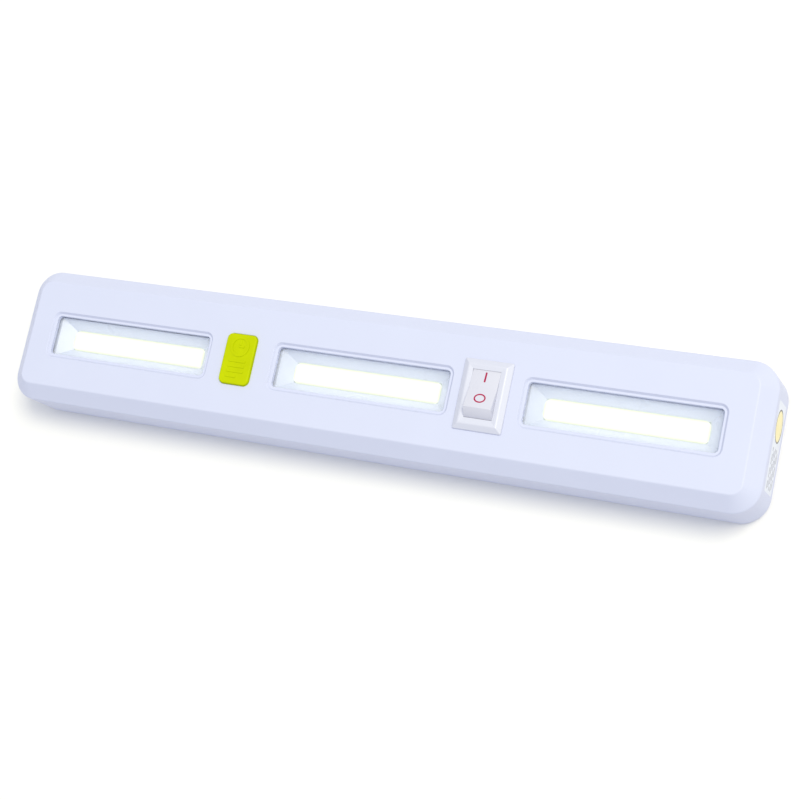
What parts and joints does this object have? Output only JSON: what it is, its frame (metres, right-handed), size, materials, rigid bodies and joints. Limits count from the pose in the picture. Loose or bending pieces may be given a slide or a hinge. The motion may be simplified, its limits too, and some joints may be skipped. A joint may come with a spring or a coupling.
{
  "type": "battery work light",
  "caption": "Long shallow battery work light with recessed COB lamps in a bevelled face, a soft timer button, a rocker switch and a sliding battery door.",
  "frame": {"origin": "middle of the flat back, which the bar lies on", "axes": "+Z out of the lit face, +X along the bar towards the end that carries the label, +Y across it towards the side that the battery door slides out of"},
  "size_m": [0.2434, 0.0432, 0.0258],
  "materials": {
    "white_shell": "semi-gloss moulded ABS",
    "white_cover": "fine satin moulded ABS",
    "clear_lens": "clear polished acrylic",
    "reflector_silver": "vacuum-metallised bright plastic",
    "led_board_white": "white solder mask",
    "led_phosphor": "yellow silicone gel, lit",
    "lime_rubber": "satin lime plastic",
    "switch_white": "semi-gloss nylon",
    "rocker_white": "semi-gloss nylon",
    "board_green": "green solder mask",
    "black_plastic": "matt moulded",
    "component_ceramic": "chip parts",
    "brass_contact": "bright",
    "spring_steel": "nickel plated",
    "cell_can": "printed sleeve over a steel can",
    "magnet_nickel": "nickel plated",
    "label_paper": "printed sticker",
    "screw_steel": "zinc plated",
    "wire_red": "PVC sleeve",
    "wire_black": "PVC sleeve"
  },
  "bodies": {
    "case": {"front_housing": "white_shell", "rear_cover": "white_cover", "timer_board": "board_green", "tact_switch": "black_plastic", "timer_chip": "black_plastic", "board_components": "component_ceramic", "switch_body": "switch_white", "switch_terminals": "brass_contact", "cell_1": "cell_can", "cell_2": "cell_can", "cell_3": "cell_can", "battery_plates": "spring_steel", "battery_springs": "spring_steel", "magnets": "magnet_nickel", "end_label": "label_paper", "housing_screws": "screw_steel", "reflector_screws": "screw_steel", "board_screws": "screw_steel", "battery_lead_positive": "wire_red", "battery_lead_negative": "wire_black", "switch_lead": "wire_red", "lens_left": "clear_lens", "reflector_left": "reflector_silver", "cob_board_left": "led_board_white", "cob_phosphor_left": "led_phosphor", "light_lead_left_red": "wire_red", "light_lead_left_black": "wire_black", "lens_middle": "clear_lens", "reflector_middle": "reflector_silver", "cob_board_middle": "led_board_white", "cob_phosphor_middle": "led_phosphor", "light_lead_middle_red": "wire_red", "light_lead_middle_black": "wire_black", "lens_right": "clear_lens", "reflector_right": "reflector_silver", "cob_board_right": "led_board_white", "cob_phosphor_right": "led_phosphor", "light_lead_right_red": "wire_red", "light_lead_right_black": "wire_black"},
    "door": {"battery_door": "white_cover"},
    "button": {"timer_button": "lime_rubber"},
    "push_plunger": {"tact_plunger": "black_plastic"},
    "rocker": {"switch_rocker": "rocker_white", "rocker_plunger": "brass_contact", "rocker_spring": "spring_steel"},
    "blade": {"contact_blade": "brass_contact"}
  },
  "joints": [
    {"name": "rocker_tilt", "type": "hinge", "parent": "case", "child": "rocker", "pos_m": [0.0398, 0.0003, 0.01856], "axis": [1, 0, 0], "range_deg": [0, 25.8]},
    {"name": "blade_tip", "type": "hinge", "parent": "case", "child": "blade", "pos_m": [0.0398, 0.0003, 0.014], "axis": [1, 0, 0], "range_deg": [-12.9, 0]},
    {"name": "timer_press", "type": "slide", "parent": "case", "child": "button", "axis": [0, 0, -1], "range_m": [0, 0.0005], "stiffness_N_per_m": 1000, "springref_m": -0.0003},
    {"name": "plunger_press", "type": "slide", "parent": "case", "child": "push_plunger", "axis": [0, 0, -1], "range_m": [0, 0.0005]},
    {"name": "door_slide", "type": "slide", "parent": "case", "child": "door", "axis": [0, 1, 0], "range_m": [0, 0.04]}
  ],
  "couplings": [
    {"joint": "blade_tip", "follows": "rocker_tilt", "ratio": -0.5},
    {"joint": "plunger_press", "follows": "timer_press", "ratio": 1}
  ]
}
